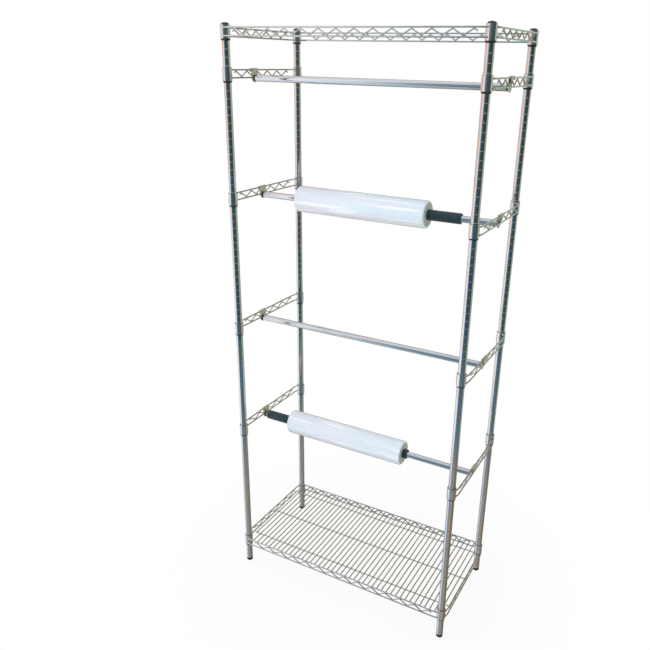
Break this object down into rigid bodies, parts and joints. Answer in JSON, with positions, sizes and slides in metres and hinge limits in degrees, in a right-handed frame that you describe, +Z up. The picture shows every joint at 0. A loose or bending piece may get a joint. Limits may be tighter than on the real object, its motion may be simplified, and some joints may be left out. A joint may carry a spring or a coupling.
{
  "type": "wire roll rack",
  "caption": "Tall chrome wire rack with a wire shelf at the bottom, an open wire frame at the top, and rods hung between side rails that carry rolls of film.",
  "frame": {"origin": "centre of the floor area between the posts, at the feet's soles", "axes": "+Z up, +X to the right seen from the front, +Y to the rear"},
  "size_m": [0.9274, 0.463, 2.1167],
  "materials": {
    "post_chrome": "bright chrome plate on round tube",
    "wire_chrome": "bright chrome plate on welded wire",
    "rod_chrome": "bright chrome plate on round tube",
    "bracket_zinc": "pale passivated zinc on flat strap",
    "insert_steel": "plain steel",
    "cap_plastic": "dark moulded plastic",
    "sleeve_plastic": "black moulded plastic",
    "stub_plastic": "black moulded plastic",
    "foot_plastic": "black moulded plastic with a steel stud",
    "core_plastic": "black extruded tube",
    "film": "wound clear film, pale and glossy"
  },
  "bodies": {
    "rack": {"post_front_left": "post_chrome", "post_front_right": "post_chrome", "post_rear_left": "post_chrome", "post_rear_right": "post_chrome", "post_caps": "cap_plastic", "foot_inserts": "insert_steel", "sleeves_bottom": "sleeve_plastic", "sleeves_rail_4": "sleeve_plastic", "sleeves_rail_3": "sleeve_plastic", "sleeves_rail_2": "sleeve_plastic", "sleeves_rail_1": "sleeve_plastic", "sleeves_top": "sleeve_plastic", "bottom_shelf_collars": "wire_chrome", "bottom_shelf_front_truss": "wire_chrome", "bottom_shelf_rear_truss": "wire_chrome", "bottom_shelf_left_truss": "wire_chrome", "bottom_shelf_right_truss": "wire_chrome", "top_frame_collars": "wire_chrome", "top_frame_front_truss": "wire_chrome", "top_frame_rear_truss": "wire_chrome", "top_frame_left_truss": "wire_chrome", "top_frame_right_truss": "wire_chrome", "bottom_shelf_deck_wires": "wire_chrome", "bottom_shelf_support_wires": "wire_chrome", "rail_1_left": "wire_chrome", "rail_1_right": "wire_chrome", "rail_2_left": "wire_chrome", "rail_2_right": "wire_chrome", "rail_3_left": "wire_chrome", "rail_3_right": "wire_chrome", "rail_4_left": "wire_chrome", "rail_4_right": "wire_chrome"},
    "hanger_1": {"bracket_1_left": "bracket_zinc", "bracket_1_right": "bracket_zinc", "rod_stubs_1": "stub_plastic"},
    "hanger_2": {"bracket_2_left": "bracket_zinc", "bracket_2_right": "bracket_zinc", "rod_stubs_2": "stub_plastic"},
    "hanger_3": {"bracket_3_left": "bracket_zinc", "bracket_3_right": "bracket_zinc", "rod_stubs_3": "stub_plastic"},
    "hanger_4": {"bracket_4_left": "bracket_zinc", "bracket_4_right": "bracket_zinc", "rod_stubs_4": "stub_plastic"},
    "rod_1": {"rod_1": "rod_chrome"},
    "rod_2": {"rod_2": "rod_chrome"},
    "rod_3": {"rod_3": "rod_chrome"},
    "rod_4": {"rod_4": "rod_chrome"},
    "roll_2": {"roll_core_2": "core_plastic", "film_roll_2": "film"},
    "roll_4": {"roll_core_4": "core_plastic", "film_roll_4": "film"},
    "foot_front_left": {"foot_front_left": "foot_plastic"},
    "foot_front_right": {"foot_front_right": "foot_plastic"},
    "foot_rear_left": {"foot_rear_left": "foot_plastic"},
    "foot_rear_right": {"foot_rear_right": "foot_plastic"}
  },
  "joints": [
    {"name": "hanger_1_lift", "type": "slide", "parent": "rack", "child": "hanger_1", "axis": [0, 0, 1], "range_m": [0, 0.05]},
    {"name": "rod_1_spin", "type": "hinge", "parent": "hanger_1", "child": "rod_1", "pos_m": [0, -0.04, 1.9482], "axis": [1, 0, 0], "continuous": true},
    {"name": "hanger_2_lift", "type": "slide", "parent": "rack", "child": "hanger_2", "axis": [0, 0, 1], "range_m": [0, 0.05]},
    {"name": "rod_2_spin", "type": "hinge", "parent": "hanger_2", "child": "rod_2", "pos_m": [0, -0.012, 1.5418], "axis": [1, 0, 0], "continuous": true},
    {"name": "hanger_3_lift", "type": "slide", "parent": "rack", "child": "hanger_3", "axis": [0, 0, 1], "range_m": [0, 0.05]},
    {"name": "rod_3_spin", "type": "hinge", "parent": "hanger_3", "child": "rod_3", "pos_m": [0, -0.038, 1.0592], "axis": [1, 0, 0], "continuous": true},
    {"name": "hanger_4_lift", "type": "slide", "parent": "rack", "child": "hanger_4", "axis": [0, 0, 1], "range_m": [0, 0.05]},
    {"name": "rod_4_spin", "type": "hinge", "parent": "hanger_4", "child": "rod_4", "pos_m": [0, -0.038, 0.6274], "axis": [1, 0, 0], "continuous": true},
    {"name": "roll_2_spin", "type": "hinge", "parent": "rod_2", "child": "roll_2", "pos_m": [0, -0.012, 1.5418], "axis": [1, 0, 0], "continuous": true},
    {"name": "roll_4_spin", "type": "hinge", "parent": "rod_4", "child": "roll_4", "pos_m": [0, -0.038, 0.6274], "axis": [1, 0, 0], "continuous": true},
    {"name": "foot_front_left_level", "type": "slide", "parent": "rack", "child": "foot_front_left", "axis": [0, 0, 1], "range_m": [-0.02, 0]},
    {"name": "foot_front_right_level", "type": "slide", "parent": "rack", "child": "foot_front_right", "axis": [0, 0, 1], "range_m": [-0.02, 0]},
    {"name": "foot_rear_left_level", "type": "slide", "parent": "rack", "child": "foot_rear_left", "axis": [0, 0, 1], "range_m": [-0.02, 0]},
    {"name": "foot_rear_right_level", "type": "slide", "parent": "rack", "child": "foot_rear_right", "axis": [0, 0, 1], "range_m": [-0.02, 0]}
  ]
}
